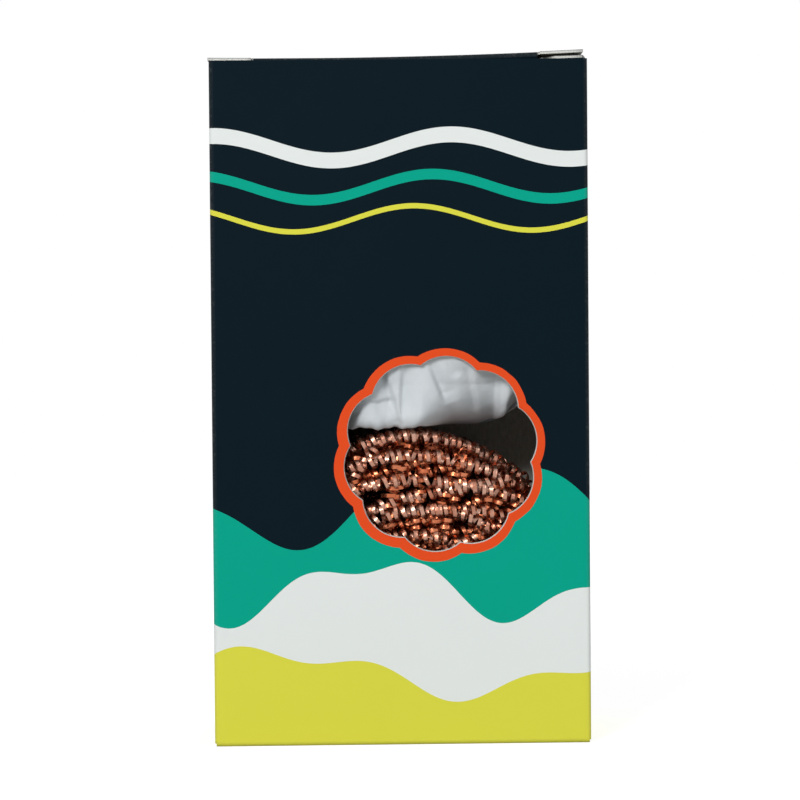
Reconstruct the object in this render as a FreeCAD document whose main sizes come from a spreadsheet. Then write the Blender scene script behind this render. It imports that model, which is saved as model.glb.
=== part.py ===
import FreeCAD, Part
import math
import os
import re

import Sketcher

# Two curled-ribbon scourers in a folding carton with a scalloped window.
# Frame: +Z up, the window faces -Y, origin under the middle of the carton's base.

# Driving dimensions, in millimetres, degrees and counts.
SIZES = {
    # carton
    "carton_width": 72.0,
    "carton_depth": 42.0,
    "carton_height": 131.3,
    "board": 0.5,
    "stack_gap": 0.1,
    # scalloped window in the front panel
    "window_centre_x": 7.5,
    "window_centre_z": 55.6,
    "window_tip_radius": 18.6,
    "window_lobe_radius": 7.4,
    "window_lobes": 10,
    "window_turn": 12.3,
    # lid and base, each with a tuck flap and slit-lock ends
    "lid_side_gap": 0.3,
    "lid_end_setback": 0.2,
    "slit_length": 8.5,
    "slit_width": 0.5,
    "tuck_gap": 0.5,
    "tuck_length": 11.0,
    "tuck_tilt": 11.0,
    "tuck_corner": 5.0,
    # dust flaps
    "dust_length": 24.0,
    "dust_taper": 36.0,
    "dust_back_gap": 0.8,
    "dust_front_gap": 0.3,
    "dust_shoulder": 6.0,
    "dust_step": 3.5,
    # side seam
    "seam_width": 12.0,
    "seam_end_gap": 5.0,
    "seam_end_slope": 3.0,
    "glue_film": 0.15,
    "glue_margin": 2.0,
    # scourers and tissue
    "rest_gap": 0.3,
    "scourer_headroom": 10.2,
    "scourer_side_play": 9.0,
    "scourer_depth_play": 3.0,
    "lower_shift_share": 0.75,
    "upper_shift_share": -0.2,
    "curl_diameter": 2.9,
    "winding_seat": 0.3,
    "winding_loops": 18,
    "winding_eye": 5.0,
    "tissue_wall": 0.8,
    "tissue_gap": 0.3,
    "tissue_height": 24.0,
    "tissue_corner": 6.0,
    "tissue_fold": 3.0,
}

# Levels and places that several pieces share, written in the sizes above.
DUST_LEVEL = "(board + stack_gap)"
FLOOR = "(2 * board + stack_gap)"
SLIT_X = "(carton_width / 2 - slit_length)"
CREASE_REACH = "(carton_depth - board - tuck_gap)"
CREASE_INSET = "(board * tan((90 + tuck_tilt) / 2))"
SCOURER_HEIGHT = (
    f"((carton_height - 2 * {FLOOR} - 3 * rest_gap - tissue_wall - scourer_headroom) / 2)"
)
SCOURER_WIDTH = "(carton_width - 2 * board - scourer_side_play)"
SCOURER_DEPTH = "(carton_depth - 2 * board - scourer_depth_play)"
TISSUE_FLOOR = f"({FLOOR} + rest_gap + {SCOURER_HEIGHT} + rest_gap)"
CORE_INSET = "(curl_diameter + winding_seat)"

X_AXIS = FreeCAD.Vector(1, 0, 0)
Z_AXIS = FreeCAD.Vector(0, 0, 1)
HALF_TURN = FreeCAD.Rotation(X_AXIS, 180)
UPRIGHT = FreeCAD.Rotation(X_AXIS, 90)

doc = FreeCAD.newDocument("boxed_scourers")
sheet = doc.addObject("Spreadsheet::Sheet", "Sizes")
sub_parts = []


def fill_sheet():
    for row, (name, number) in enumerate(SIZES.items(), start=1):
        sheet.set(f"A{row}", name)
        sheet.set(f"B{row}", str(number))
        sheet.setAlias(f"B{row}", name)
    doc.recompute()


def bound(text):
    """The same sum with every size name pointing at its cell."""
    return re.sub(r"[a-z_]+", lambda word: f"Sizes.{word[0]}" if word[0] in SIZES else word[0], text)


def origin_plane(body):
    return next(item for item in body.Origin.OriginFeatures if item.Role == "XY_Plane")


def new_sketch(body, name):
    sketch = body.newObject("Sketcher::SketchObject", name)
    sketch.AttachmentSupport = (origin_plane(body), [""])
    sketch.MapMode = "FlatFace"
    return sketch


def bind_point(sketch, line, end, place):
    """Ties one end of a line, or a circle's centre, to its X and Y sums."""
    for kind, text in zip(("DistanceX", "DistanceY"), place):
        index = sketch.addConstraint(Sketcher.Constraint(kind, -1, 1, line, end, 1))
        sketch.setExpression(f"Constraints[{index}]", bound(text))


def polygon(body, name, corners, level="0"):
    """A closed outline whose corners are sums of sheet sizes. The unit polygon is only its starting shape."""
    sketch = new_sketch(body, name)
    sketch.setExpression("AttachmentOffset.Base.z", bound(level))
    count = len(corners)
    turn = 2 * math.pi / count
    unit = [FreeCAD.Vector(math.cos(turn * i), math.sin(turn * i), 0) for i in range(count)]
    for i in range(count):
        sketch.addGeometry(Part.LineSegment(unit[i], unit[(i + 1) % count]))
    for i in range(count):
        sketch.addConstraint(Sketcher.Constraint("Coincident", i, 2, (i + 1) % count, 1))
    for i, place in enumerate(corners):
        bind_point(sketch, i, 1, place)
    return sketch


def set_place(item, rotation, place, turned=False):
    """Places a piece. A turned piece goes to the other end of the carton, half a turn about its middle."""
    x, y, z = place
    if turned:
        rotation = HALF_TURN.multiply(rotation)
        y, z = f"-({y})", f"carton_height - ({z})"
    item.Placement = FreeCAD.Placement(FreeCAD.Vector(), rotation)
    for axis, text in zip("xyz", (x, y, z)):
        item.setExpression(f"Placement.Base.{axis}", bound(text))


def board_plate(label, outside, inside):
    """A piece of board: printed outline at local Z 0, inner outline one board thickness behind it.

    Edges that meet another panel at a crease are mitred, so their inner outline is drawn in.
    """
    body = doc.addObject("PartDesign::Body", label)
    loft = body.newObject("PartDesign::AdditiveLoft", f"{label}_board")
    loft.Profile = polygon(body, f"{label}_outside", outside)
    loft.Sections = [polygon(body, f"{label}_inside", inside, "-board")]
    loft.Ruled = True
    body.Tip = loft
    doc.recompute()
    sub_parts.append(body)
    return body


def flat_strip(label, outline, thickness):
    """A square-edged strip that lies behind local Z 0."""
    body = doc.addObject("PartDesign::Body", label)
    pad = body.newObject("PartDesign::Pad", f"{label}_pad")
    pad.Profile = polygon(body, f"{label}_outline", outline)
    pad.setExpression("Length", bound(thickness))
    pad.Reversed = True
    doc.recompute()
    sub_parts.append(body)
    return body


def main_wall(label):
    """Front or back wall: mitred at both sides and at the end that carries a hinged panel."""
    half = "carton_width / 2"
    top = f"carton_height - {DUST_LEVEL}"
    outside = [(f"-{half}", "0"), (half, "0"), (half, top), (f"-{half}", top)]
    inner = f"({half} - board)"
    inside = [(f"-{inner}", "board"), (inner, "board"), (inner, top), (f"-{inner}", top)]
    return board_plate(label, outside, inside)


def cut_window(body):
    """Ten round lobes about a round middle, cut through the front panel."""
    solid_volume = body.Shape.Volume
    lobe_reach = "window_tip_radius - window_lobe_radius"
    middle = window_hole(body, "window_middle", "0", lobe_reach)
    lobe = window_hole(body, "window_lobe", lobe_reach, "window_lobe_radius")
    pattern = body.newObject("PartDesign::PolarPattern", "window_scallops")
    pattern.Originals = [lobe]
    pattern.Axis = (lobe.Profile[0], ["N_Axis"])
    pattern.Angle = 360
    pattern.setExpression("Occurrences", bound("window_lobes"))
    body.Tip = pattern
    doc.recompute()
    if not solid_volume > middle.Shape.Volume > body.Shape.Volume:
        raise RuntimeError("the window cut nothing")


def window_hole(body, name, reach, radius):
    sketch = new_sketch(body, f"{name}_outline")
    turn = FreeCAD.Rotation(Z_AXIS, sheet.window_turn)
    sketch.AttachmentOffset = FreeCAD.Placement(FreeCAD.Vector(), turn)
    sketch.setExpression("AttachmentOffset.Base.x", bound("window_centre_x"))
    sketch.setExpression("AttachmentOffset.Base.y", bound("window_centre_z"))
    sketch.addGeometry(Part.Circle(FreeCAD.Vector(), Z_AXIS, 1))
    bind_point(sketch, 0, 3, (reach, "0"))
    index = sketch.addConstraint(Sketcher.Constraint("Radius", 0, 1))
    sketch.setExpression(f"Constraints[{index}]", bound(radius))
    pocket = body.newObject("PartDesign::Pocket", name)
    pocket.Profile = sketch
    pocket.Type = "ThroughAll"
    body.Tip = pocket
    doc.recompute()
    return pocket


def side_wall(label):
    """Left or right wall, mitred on all four edges."""
    half = "carton_depth / 2"
    low = DUST_LEVEL
    high = f"(carton_height - {DUST_LEVEL})"
    outside = [(f"-{half}", low), (half, low), (half, high), (f"-{half}", high)]
    inner = f"({half} - board)"
    low_in = f"({low} + board)"
    high_in = f"({high} - board)"
    inside = [(f"-{inner}", low_in), (inner, low_in), (inner, high_in), (f"-{inner}", high_in)]
    return board_plate(label, outside, inside)


def closing_panel(label):
    """Lid or base. Local Y runs from its hinge crease to its tuck crease, past which its two ends reach."""
    half = "(carton_width / 2 - lid_side_gap)"
    ends = "(carton_depth - lid_end_setback)"

    def outline(hinge, crease):
        right = [(half, hinge), (half, ends), (SLIT_X, ends), (SLIT_X, crease)]
        return right + [(f"-{x}", y) for x, y in reversed(right)]

    return board_plate(
        label, outline("0", CREASE_REACH), outline("board", f"({CREASE_REACH} - {CREASE_INSET})")
    )


def tuck_flap(label):
    half = f"({SLIT_X} - slit_width)"

    def outline(crease):
        return [(f"-{half}", crease), (half, crease), (half, "tuck_length"), (f"-{half}", "tuck_length")]

    body = board_plate(label, outline("0"), outline(CREASE_INSET))
    blank = body.Tip
    free_end = [
        f"Edge{number}"
        for number, edge in enumerate(body.Shape.Edges, start=1)
        if all(abs(corner.Y - sheet.tuck_length) < sheet.board / 2 for corner in edge.Vertexes)
        and edge.Length < 2 * sheet.board
    ]
    fillet = body.newObject("PartDesign::Fillet", f"{label}_corners")
    fillet.Base = (blank, free_end)
    fillet.setExpression("Radius", bound("tuck_corner"))
    body.Tip = fillet
    doc.recompute()
    return body


def dust_flap(label, side):
    """Side 1 has its tapered edge towards local +X, side -1 is its mirror image."""
    front = f"(-carton_depth / 2 + board + dust_front_gap)"
    back = f"(carton_depth / 2 - board - dust_back_gap)"
    step = "(dust_step - dust_front_gap)"

    def outline(root):
        corners = [
            (front, root),
            (f"{back} - {root} * tan(dust_taper)", root),
            (f"{back} - dust_length * tan(dust_taper)", "dust_length"),
            (f"{front} + {step}", "dust_length"),
            (f"{front} + {step}", f"dust_shoulder + {step}"),
            (front, "dust_shoulder"),
        ]
        return [(f"{side} * ({x})", y) for x, y in corners]

    return board_plate(label, outline("0"), outline("board"))


def make_walls():
    wall_y = "-carton_depth / 2"
    front = main_wall("front_panel")
    cut_window(front)
    set_place(front, UPRIGHT, ("0", wall_y, "0"))
    set_place(main_wall("back_panel"), UPRIGHT, ("0", wall_y, "0"), turned=True)
    for label, side in (("left_side_panel", -1), ("right_side_panel", 1)):
        facing = FreeCAD.Rotation(Z_AXIS, 90 * side).multiply(UPRIGHT)
        set_place(side_wall(label), facing, (f"{side} * carton_width / 2", "0", "0"))


def make_seam():
    """Glue flap folded in from the back wall, stuck to the inside of the left wall by a film of glue."""
    facing = FreeCAD.Rotation(Z_AXIS, -90).multiply(UPRIGHT)
    low = "seam_end_gap"
    high = "(carton_height - seam_end_gap)"
    flap = [
        ("0", low),
        ("seam_width", f"{low} + seam_end_slope"),
        ("seam_width", f"{high} - seam_end_slope"),
        ("0", high),
    ]
    near, far = "glue_margin", "(seam_width - glue_margin)"
    bottom = f"({low} + seam_end_slope + glue_margin)"
    top = f"({high} - seam_end_slope - glue_margin)"
    film = [(near, bottom), (far, bottom), (far, top), (near, top)]
    inner_face = "-carton_width / 2 + board"
    root = "carton_depth / 2 - board"
    set_place(flat_strip("seam_glue", film, "glue_film"), facing, (inner_face, root, "0"))
    set_place(flat_strip("glue_flap", flap, "board"), facing, (f"{inner_face} + glue_film", root, "0"))


def make_closure(names, turned):
    """A panel on its hinge crease, its tuck flap and the two dust flaps under it, at one end of the carton."""
    panel, tuck, left_dust, right_dust = names
    flat = FreeCAD.Rotation(Z_AXIS, 180)
    set_place(closing_panel(panel), flat, ("0", "carton_depth / 2", "carton_height"), turned)
    folded = FreeCAD.Rotation(X_AXIS, 90 + sheet.tuck_tilt).multiply(flat)
    crease = ("0", f"carton_depth / 2 - {CREASE_REACH}", "carton_height")
    set_place(tuck_flap(tuck), folded, crease, turned)
    for label, side in ((left_dust, -1), (right_dust, 1)):
        facing = FreeCAD.Rotation(Z_AXIS, 90 * side)
        root = (f"{side} * carton_width / 2", "0", f"carton_height - {DUST_LEVEL}")
        set_place(dust_flap(label, side), facing, root, turned)


def round_edges(body, name, radius, wanted):
    """Fillets the edges of the body so far whose bounding box passes the test."""
    base = body.Tip
    edges = [f"Edge{i}" for i, edge in enumerate(base.Shape.Edges, start=1) if wanted(edge.BoundBox)]
    fillet = body.newObject("PartDesign::Fillet", name)
    fillet.Base = (base, edges)
    fillet.setExpression("Radius", bound(radius))
    body.Tip = fillet
    doc.recompute()


def tissue_block(label, drawn_in):
    """A block as high as the nest, with round corners and a round floor edge, drawn in on its sides."""
    body = doc.addObject("PartDesign::Body", label)
    half_x = f"(carton_width / 2 - 2 * board - glue_film - tissue_gap - {drawn_in})"
    half_y = f"(carton_depth / 2 - board - tissue_gap - {drawn_in})"
    signs = ((-1, -1), (1, -1), (1, 1), (-1, 1))
    block = body.newObject("PartDesign::Pad", f"{label}_block")
    block.Profile = polygon(body, f"{label}_outline", [(f"{i} * {half_x}", f"{j} * {half_y}") for i, j in signs])
    block.setExpression("Length", bound("tissue_height"))
    body.Tip = block
    doc.recompute()
    middle = sheet.tissue_height / 2
    round_edges(body, f"{label}_corners", f"tissue_corner - {drawn_in}", lambda box: box.ZLength > middle)
    round_edges(body, f"{label}_folds", f"tissue_fold - {drawn_in}", lambda box: box.ZMax < middle)
    return body


def make_tissue():
    """Crumpled sheet as a thin open nest: it lies on the lower scourer and stands up round the upper one."""
    nest = doc.addObject("Part::Cut", "tissue_nest")
    nest.Base = tissue_block("tissue_outside", "0")
    nest.Tool = tissue_block("tissue_inside", "tissue_wall")
    set_place(nest.Tool, FreeCAD.Rotation(), ("0", "0", "tissue_wall"))
    set_place(nest, FreeCAD.Rotation(), ("0", "0", TISSUE_FLOOR))
    doc.recompute()
    sub_parts.append(nest)


def make_core(label, place):
    """Inner loops of a scourer, as the plain form that its outer winding lies on."""
    core = doc.addObject("Part::Ellipsoid", label)
    core.setExpression("Radius1", bound(f"{SCOURER_HEIGHT} / 2 - {CORE_INSET}"))
    core.setExpression("Radius2", bound(f"{SCOURER_WIDTH} / 2 - {CORE_INSET}"))
    core.setExpression("Radius3", bound(f"{SCOURER_DEPTH} / 2 - {CORE_INSET}"))
    set_place(core, FreeCAD.Rotation(), place)
    doc.recompute()
    sub_parts.append(core)
    return core


def winding_route(reach):
    """Points and headings, a quarter turn apart, of a spiral from pole to pole of an ellipsoid.

    The poles are at the front and back, and the loops are evenly spaced along the curve from pole to pole.
    """
    ring = (reach.x + reach.z) / 2
    steps = 720
    lengths = [0.0]
    for i in range(steps):
        angle = math.pi * (i + 0.5) / steps
        slope = math.hypot(ring * math.cos(angle), reach.y * math.sin(angle))
        lengths.append(lengths[-1] + slope * math.pi / steps)
    first = sheet.winding_eye
    last = lengths[-1] - sheet.winding_eye
    loops = int(sheet.winding_loops)

    def at(turns):
        wanted = first + (last - first) * turns / loops
        index = max(i for i in range(steps) if lengths[i] <= wanted)
        part = (wanted - lengths[index]) / (lengths[index + 1] - lengths[index])
        tilt = math.pi * (index + part) / steps
        spin = 2 * math.pi * turns
        return FreeCAD.Vector(
            reach.x * math.sin(tilt) * math.cos(spin),
            -reach.y * math.cos(tilt),
            reach.z * math.sin(tilt) * math.sin(spin),
        )

    quarter = 1 / 4
    small_share = 1 / 64
    route = []
    for i in range(4 * loops + 1):
        turns = i * quarter
        before = max(turns - small_share, 0)
        after = min(turns + small_share, loops)
        route.append((at(turns), (at(after) - at(before)).normalize()))
    return route


def arc_from(start, heading, end):
    """The arc that leaves start along heading and reaches end."""
    chord = end - start
    along = FreeCAD.Vector(chord).normalize()
    rise = heading - along * heading.dot(along)
    bulge = chord.Length / 2 * math.tan(heading.getAngle(along) / 2)
    middle = start + chord / 2 + rise.normalize() * bulge
    return Part.Arc(start, middle, end)


def biarc(start, start_heading, end, end_heading):
    """Two tangent arcs from one point and heading to the next."""
    gap = end - start
    both = start_heading + end_heading
    a = 2 * (start_heading.dot(end_heading) - 1)
    b = -2 * gap.dot(both)
    c = gap.dot(gap)
    reach = (-b - math.sqrt(b * b - 4 * a * c)) / (2 * a)
    meeting = (start + start_heading * reach + end - end_heading * reach) / 2
    first = arc_from(start, start_heading, meeting)
    second = arc_from(end, end_heading * -1, meeting)
    return [first.toShape(), second.toShape()]


def least_self_gap(edges, loops, diameter):
    """Smallest clear gap between a loop and the next one, on points along the winding."""
    per_arc = 24
    points = []
    for edge, forward in edges:
        found = edge.discretize(Number=per_arc + 1)
        points.extend(found[:-1] if forward else found[:0:-1])
    turn = len(points) // loops
    near = turn // 8
    least = math.inf
    for i, point in enumerate(points):
        for other in points[i + turn - near : i + turn + near]:
            least = min(least, point.distanceToPoint(other))
    return least - diameter


def make_winding(label, core):
    """Outer layer of a scourer: one curled strand wound pole to pole over its core, as one unbroken tube."""
    diameter = sheet.curl_diameter
    lift = sheet.winding_seat + diameter / 2
    reach = FreeCAD.Vector(
        core.Radius2.Value + lift, core.Radius3.Value + lift, core.Radius1.Value + lift
    )
    route = winding_route(reach)
    edges = []
    for (start, leaving), (end, arriving) in zip(route, route[1:]):
        first, second = biarc(start, leaving, end, arriving)
        edges += [(first, True), (second, False)]
    gap = least_self_gap(edges, int(sheet.winding_loops), diameter)
    print(f"{label}: least gap to itself {gap:.3f} mm")
    path = Part.Wire([edge for edge, _ in edges])
    ring = Part.Wire([Part.Circle(route[0][0], route[0][1], diameter / 2).toShape()])
    strand = doc.addObject("Part::Feature", label)
    strand.Shape = path.makePipeShell([ring], True, False)
    section = math.pi * diameter * diameter / 4
    print(f"{label}: volume {strand.Shape.Volume:.1f}, section times length {section * path.Length:.1f}")
    strand.Placement = core.Placement
    sub_parts.append(strand)


def make_scourers():
    half_play = "scourer_side_play / 2"
    half_height = f"{SCOURER_HEIGHT} / 2"
    lower_z = f"{FLOOR} + rest_gap + {half_height}"
    upper_z = f"{TISSUE_FLOOR} + tissue_wall + rest_gap + {half_height}"
    for name, share, level in (("lower", "lower_shift_share", lower_z), ("upper", "upper_shift_share", upper_z)):
        core = make_core(f"{name}_scourer_core", (f"{share} * {half_play}", "0", level))
        make_winding(f"{name}_scourer_strand", core)


def check_and_write():
    doc.recompute()
    for item in doc.Objects:
        if "Invalid" in item.State or "Error" in item.State:
            raise RuntimeError(f"{item.Label} failed: {item.State}")
    os.makedirs("parts", exist_ok=True)
    for item in sub_parts:
        shape = item.Shape
        if shape.isNull() or not shape.isValid():
            raise RuntimeError(f"{item.Label} has no valid shape")
        shape.exportStep(f"parts/{item.Label}.step")
        print(f"{item.Label}: {len(shape.Solids)} solid, {shape.Volume:.1f} mm3")


fill_sheet()
make_walls()
make_seam()
make_closure(("lid_panel", "lid_tuck_flap", "top_left_dust_flap", "top_right_dust_flap"), turned=False)
make_closure(("base_panel", "base_tuck_flap", "bottom_left_dust_flap", "bottom_right_dust_flap"), turned=True)
make_tissue()
make_scourers()
check_and_write()
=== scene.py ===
"""Looks of two curled copper pot scourers in a printed folding carton with a scalloped window.

Shapes are worked out in millimetres, in the frame of the CAD part, and become metres where a mesh is made.
On the print, U runs to the right round the four walls from the middle of the front, and V runs up them.
"""

import math

import bpy
import numpy as np
from mathutils import Matrix, Vector
from mathutils.geometry import delaunay_2d_cdt


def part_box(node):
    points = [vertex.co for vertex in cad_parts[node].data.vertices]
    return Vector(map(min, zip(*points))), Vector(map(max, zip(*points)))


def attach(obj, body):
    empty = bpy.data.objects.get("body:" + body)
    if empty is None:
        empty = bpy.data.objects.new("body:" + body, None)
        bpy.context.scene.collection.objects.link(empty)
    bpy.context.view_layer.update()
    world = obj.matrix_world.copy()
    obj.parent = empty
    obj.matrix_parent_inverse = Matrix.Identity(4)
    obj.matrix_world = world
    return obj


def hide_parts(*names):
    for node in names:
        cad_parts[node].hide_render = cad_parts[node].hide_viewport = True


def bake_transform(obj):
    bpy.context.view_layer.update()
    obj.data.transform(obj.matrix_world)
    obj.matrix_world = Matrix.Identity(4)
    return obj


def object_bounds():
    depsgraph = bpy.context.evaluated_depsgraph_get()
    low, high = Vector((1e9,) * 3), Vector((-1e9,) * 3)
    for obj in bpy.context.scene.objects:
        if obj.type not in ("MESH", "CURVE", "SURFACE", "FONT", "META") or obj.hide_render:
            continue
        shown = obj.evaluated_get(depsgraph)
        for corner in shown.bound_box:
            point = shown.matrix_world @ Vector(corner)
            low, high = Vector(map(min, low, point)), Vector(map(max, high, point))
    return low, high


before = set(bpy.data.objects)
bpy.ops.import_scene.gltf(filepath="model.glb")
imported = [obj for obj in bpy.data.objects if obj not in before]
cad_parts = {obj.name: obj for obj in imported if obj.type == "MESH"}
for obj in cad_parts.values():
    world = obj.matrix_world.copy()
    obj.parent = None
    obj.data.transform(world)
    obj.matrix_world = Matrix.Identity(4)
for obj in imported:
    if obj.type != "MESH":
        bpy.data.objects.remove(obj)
cad_low, cad_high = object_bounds()

MM = 0.001

# Carton: its board, the reach of a fold, a layer of board with the gap beside it, and its walls' bow
WIDTH, DEPTH, HEIGHT = [(high - low) / MM for low, high in zip(cad_low, cad_high)]
BOARD = 0.5
FOLD = 0.9
STACK = 0.6
WIDE_BOW = 0.3
NARROW_BOW = 0.2

# Lid: gaps at its sides and its front ends, the shift of its free end to the left, and its slits
LID_SIDE_GAP = 0.3
LID_END_SETBACK = 0.2
LID_SKEW = 0.5
SLIT_X = 27.5

# Tuck flap, which folds off the lid at a line this far from the hinge
TUCK_LINE = 41.0
TUCK_HALF = 27.0
TUCK_LENGTH = 11.0
TUCK_TILT = math.radians(11)
TUCK_CORNER = 5.0

# Dust flaps: length, taper of the back edge, shoulder and step of the front edge, edges and root's ends
DUST_LENGTH = 24.0
DUST_TAPER = math.tan(math.radians(36))
DUST_SHOULDER = 6.0
DUST_STEP = 3.2
DUST_FRONT = DEPTH / 2 - 0.8
DUST_BACK = DEPTH / 2 - 1.3
DUST_ROOT = (DUST_FRONT - 0.2, DUST_BACK - FOLD * DUST_TAPER)

# Window: ten round lobes, the board torn back round its edge, and the printed border, a little off the cut
WINDOW_CENTRE = (7.5, 55.6)
WINDOW_LOBES = 10
WINDOW_TURN = math.radians(12.3)
LOBE_RADIUS = 7.4
LOBE_REACH = 11.2
POINTS_PER_LOBE = 14
TEAR = 0.17
BORDER = 1.8
BORDER_SHIFT = (-0.2, -0.2)

# Length of the print round half of a wide wall, half of a narrow wall, and all round
HALF_WIDE = WIDTH / 2 - FOLD + FOLD * math.pi / 4
HALF_NARROW = DEPTH / 2 - FOLD + FOLD * math.pi / 4
ROUND = 4 * (HALF_WIDE + HALF_NARROW)


# Materials


class Shader:
    """A material or a world, and short calls that add nodes to it."""

    def __init__(self, name, kind="materials", surface="Principled BSDF"):
        self.made = getattr(bpy.data, kind).new(name)
        self.made.use_nodes = True
        self.nodes = self.made.node_tree.nodes
        self.links = self.made.node_tree.links
        self.surface = self.nodes[surface]

    def put(self, socket, value):
        if isinstance(value, bpy.types.NodeSocket):
            self.links.new(value, socket)
        elif value is not None:
            socket.default_value = value

    def node(self, kind, inputs=(), **settings):
        made = self.nodes.new(kind)
        for key, value in settings.items():
            setattr(made, key, value)
        for key, value in dict(inputs).items():
            self.put(made.inputs[key], value)
        return made

    def math(self, operation, *values):
        made = self.node("ShaderNodeMath", operation=operation)
        for socket, value in zip(made.inputs, values):
            self.put(socket, value)
        return made.outputs[0]

    def ramp(self, value, low, high, start=0.0, end=1.0):
        """Value from low to high, mapped smoothly to start to end."""
        ends = {"Value": value, "From Min": low, "From Max": high, "To Min": start, "To Max": end}
        return self.node("ShaderNodeMapRange", ends, interpolation_type="SMOOTHSTEP").outputs[0]

    def mix(self, share, first, second, blend="MIX"):
        ends = {"Factor": share, "A": first, "B": second}
        return self.node("ShaderNodeMix", ends, data_type="RGBA", blend_type=blend).outputs["Result"]

    def place(self, stretch=(1, 1, 1)):
        """The piece's own coordinates, in millimetres times stretch."""
        where = self.node("ShaderNodeTexCoord").outputs["Object"]
        scale = tuple(s / MM for s in stretch)
        return self.node("ShaderNodeMapping", {"Vector": where, "Scale": scale}).outputs[0]

    def noise(self, where, scale, detail=3.0, rough=0.5, twist=0.0):
        ends = {"Vector": where, "Scale": scale, "Detail": detail, "Roughness": rough, "Distortion": twist}
        return self.node("ShaderNodeTexNoise", ends).outputs["Fac"]

    def attribute(self, name):
        return self.node("ShaderNodeAttribute", attribute_name=name).outputs["Fac"]

    def bump(self, height, depth, strength, under=None):
        """A bump of that depth in millimetres, on top of the one under it."""
        ends = {"Height": height, "Distance": depth * MM, "Strength": strength, "Normal": under}
        return self.node("ShaderNodeBump", ends).outputs[0]

    def finish(self, **sockets):
        for key, value in sockets.items():
            self.put(self.surface.inputs[key.replace("_", " ")], value)
        return self.made


def srgb(red, green, blue):
    """A colour as a picture shows it, 0 to 255, in the linear values that nodes take."""

    def linear(value):
        value /= 255
        return value / 12.92 if value <= 0.04045 else ((value + 0.055) / 1.055) ** 2.4

    return (linear(red), linear(green), linear(blue), 1.0)


NAVY = srgb(9, 24, 32)
GREEN = srgb(8, 158, 134)
WHITE = srgb(222, 227, 225)
YELLOW = srgb(213, 211, 70)
ORANGE = srgb(222, 76, 34)
BARE = srgb(210, 208, 200)
RAW = srgb(206, 206, 200)

# Printed waves: colour, mean height, and the height, count round the carton and phase of two swells
WAVES = (
    (GREEN, 47.0, (7.5, 3, 0.4), (2.6, 7, 1.9)),
    (WHITE, 30.0, (5.2, 4, 2.2), (2.2, 9, 0.3)),
    (YELLOW, 14.0, (4.2, 3, 3.6), (1.8, 8, 2.6)),
)
# Printed lines in the upper part: colour, height, width, swell height, swells round the carton, phase
LINES = (
    (WHITE, 114.0, 3.0, 2.4, 5, 0.2),
    (GREEN, 106.5, 2.0, 2.4, 5, 0.7),
    (YELLOW, 100.5, 1.0, 2.4, 5, 1.2),
)
# How far the ink runs on past the walls' folds, and how ragged it ends on a bare flap
BLEED = 3.0
BLEED_RAGGED = 0.3


def swell(shader, along, height, count, phase):
    turned = shader.math("MULTIPLY_ADD", along, 2 * math.pi * count / ROUND, phase)
    return shader.math("MULTIPLY", shader.math("SINE", turned), height)


def printed_colour(shader, along, up):
    colour = NAVY
    for ink, level, first, second in WAVES:
        crest = shader.math("ADD", swell(shader, along, *first), swell(shader, along, *second))
        below = shader.math("LESS_THAN", up, shader.math("ADD", crest, level))
        colour = shader.mix(below, colour, ink)
    for ink, level, width, *wave in LINES:
        away = shader.math("SUBTRACT", up, shader.math("ADD", swell(shader, along, *wave), level))
        inked = shader.math("LESS_THAN", shader.math("ABSOLUTE", away), width / 2)
        colour = shader.mix(inked, colour, ink)
    colour = shader.mix(shader.math("LESS_THAN", up, -BLEED), colour, NAVY)
    return shader.mix(border_mask(shader, along, up), colour, ORANGE)


def border_mask(shader, along, up):
    """1 within the printed border that follows the window's lobes."""

    def length(first, second):
        square = shader.math("MULTIPLY_ADD", first, first, shader.math("MULTIPLY", second, second))
        return shader.math("SQRT", square)

    x = shader.math("SUBTRACT", along, WINDOW_CENTRE[0] + BORDER_SHIFT[0])
    z = shader.math("SUBTRACT", up, WINDOW_CENTRE[1] + BORDER_SHIFT[1])
    reach = length(x, z)
    step = 2 * math.pi / WINDOW_LOBES
    angle = shader.math("ADD", shader.math("ARCTAN2", z, x), step / 2 - WINDOW_TURN)
    turned = shader.math("SUBTRACT", shader.math("FLOORED_MODULO", angle, step), step / 2)
    out = shader.math("MULTIPLY_ADD", reach, shader.math("COSINE", turned), -LOBE_REACH)
    across = shader.math("MULTIPLY", reach, shader.math("SINE", turned))
    return shader.math("LESS_THAN", length(out, across), LOBE_RADIUS + BORDER)


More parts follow.
